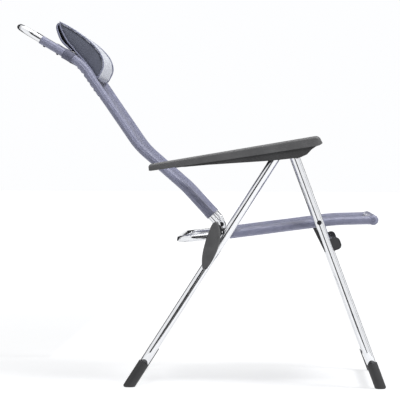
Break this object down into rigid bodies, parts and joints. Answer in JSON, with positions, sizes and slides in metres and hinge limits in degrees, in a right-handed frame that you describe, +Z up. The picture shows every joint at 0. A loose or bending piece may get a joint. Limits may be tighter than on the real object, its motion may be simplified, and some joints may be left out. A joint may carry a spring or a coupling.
{
  "type": "folding camp chair",
  "caption": "Folding reclining camp chair with crossing tubular legs, sling seat and back, notched armrests and a strapped headrest.",
  "frame": {"origin": "on the floor under the middle of the chair's outline", "axes": "+X to the front of the chair, +Y to the sitter's left, +Z up"},
  "size_m": [1.0213, 0.624, 1],
  "materials": {
    "polished_tube": "polished",
    "sling_cloth": "woven, slight sheen",
    "headrest_cloth": "woven, padded",
    "webbing": "ribbed webbing",
    "steel_fastener": "black",
    "dark_plastic": "matt",
    "grey_plastic": "fine grain"
  },
  "bodies": {
    "front_legs": {"front_leg_frame": "polished_tube", "front_foot_left": "dark_plastic", "front_foot_right": "dark_plastic", "front_leg_knuckle_left": "dark_plastic", "front_leg_knuckle_right": "dark_plastic", "notch_pins": "steel_fastener", "brace_tube": "polished_tube", "brace_clamp_left": "dark_plastic", "brace_clamp_right": "dark_plastic", "leg_saddle_left": "dark_plastic", "leg_saddle_right": "dark_plastic"},
    "rear_legs": {"rear_leg_frame": "polished_tube", "rear_foot_left": "dark_plastic", "rear_foot_right": "dark_plastic", "rear_leg_knuckle_left": "dark_plastic", "rear_leg_knuckle_right": "dark_plastic"},
    "side_links": {"side_plate_left": "grey_plastic", "side_plate_right": "grey_plastic", "link_bolts": "steel_fastener", "link_studs": "steel_fastener"},
    "seat": {"seat_frame": "polished_tube", "seat_front_bar": "polished_tube", "seat_hinge_bracket_left": "dark_plastic", "seat_hinge_bracket_right": "dark_plastic", "seat_pivot_spacers": "dark_plastic", "seat_pivot_bolts": "steel_fastener", "seat_sling": "sling_cloth"},
    "back_pins": {"back_pivot_pins": "steel_fastener"},
    "back": {"back_frame": "polished_tube", "back_end_plugs": "dark_plastic", "armrest_spacers": "dark_plastic", "back_sling": "sling_cloth"},
    "headrest": {"headrest_cushion": "headrest_cloth", "headrest_flap": "headrest_cloth", "headrest_strap": "webbing"},
    "armrest_pins": {"armrest_pivot_pins": "steel_fastener"},
    "armrests": {"armrest_shell_left": "grey_plastic", "armrest_shell_right": "grey_plastic", "armrest_rail_left": "dark_plastic", "armrest_rail_right": "dark_plastic"}
  },
  "joints": [
    {"name": "fold", "type": "hinge", "parent": "front_legs", "child": "rear_legs", "pos_m": [0.237, 0, 0.6418], "axis": [0, -1, 0], "range_deg": [0, 50]},
    {"name": "link_swing", "type": "hinge", "parent": "rear_legs", "child": "side_links", "pos_m": [0.0202, 0, 0.3303], "axis": [0, -1, 0], "range_deg": [0, 126.99]},
    {"name": "seat_lift", "type": "hinge", "parent": "front_legs", "child": "seat", "pos_m": [0.3281, 0, 0.4514], "axis": [0, -1, 0], "range_deg": [0, 80.24]},
    {"name": "back_fold", "type": "hinge", "parent": "seat", "child": "back_pins", "pos_m": [0.0512, 0, 0.4323], "axis": [0, -1, 0], "range_deg": [-80.02, 0]},
    {"name": "recline", "type": "hinge", "parent": "back_pins", "child": "back", "pos_m": [0.0512, 0, 0.4323], "axis": [0, -1, 0], "range_deg": [-28, 0]},
    {"name": "armrest_fold", "type": "hinge", "parent": "back", "child": "armrest_pins", "pos_m": [-0.107, 0, 0.602], "axis": [0, -1, 0], "range_deg": [0, 93.67]},
    {"name": "armrest_tilt", "type": "hinge", "parent": "armrest_pins", "child": "armrests", "pos_m": [-0.107, 0, 0.602], "axis": [0, -1, 0], "range_deg": [0, 18.02]},
    {"name": "headrest_slide", "type": "slide", "parent": "back", "child": "headrest", "axis": [-0.8614, 0, 0.5079], "range_m": [0, 0.02]}
  ],
  "couplings": [
    {"joint": "link_swing", "follows": "fold", "ratio": 2.5393},
    {"joint": "seat_lift", "follows": "fold", "ratio": 1.6045},
    {"joint": "back_fold", "follows": "fold", "ratio": -1.6},
    {"joint": "armrest_fold", "follows": "fold", "ratio": 1.873},
    {"joint": "armrest_tilt", "follows": "recline", "ratio": -0.64285}
  ]
}
